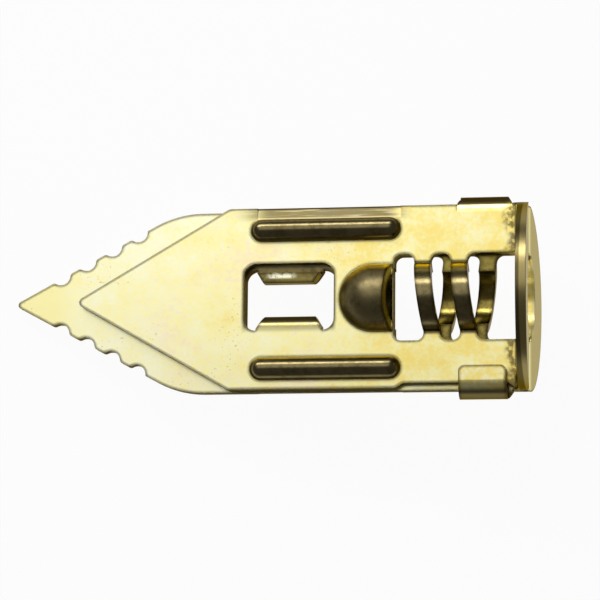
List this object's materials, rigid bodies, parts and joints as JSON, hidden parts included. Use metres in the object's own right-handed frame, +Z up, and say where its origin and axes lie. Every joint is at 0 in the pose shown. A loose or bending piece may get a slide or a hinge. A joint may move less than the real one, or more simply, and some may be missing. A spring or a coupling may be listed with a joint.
{
  "type": "drywall anchor",
  "caption": "Hammer-in hollow-wall anchor of stamped steel leaves folded together, with a saw-edged point, a screw nest and a round flanged head.",
  "frame": {"origin": "on the surface that the anchor lies on, under the middle of its overall box", "axes": "+X towards the flanged head, level; the point is at -X; +Y across the leaves; +Z up. The anchor's own axis rises 9.23 degrees towards the head"},
  "size_m": [0.0406, 0.0156, 0.0143],
  "materials": {
    "toothed_leaf": "yellow-passivated zinc",
    "plain_leaf": "yellow-passivated zinc"
  },
  "bodies": {
    "toothed_leaf": {"toothed_leaf": "toothed_leaf"},
    "plain_leaf": {"plain_leaf": "plain_leaf"}
  },
  "joints": [
    {"name": "leaf_spread", "type": "hinge", "parent": "toothed_leaf", "child": "plain_leaf", "pos_m": [0.01766, 0, 0.00698], "axis": [0, 1, 0], "range_deg": [0, 2.4]}
  ]
}
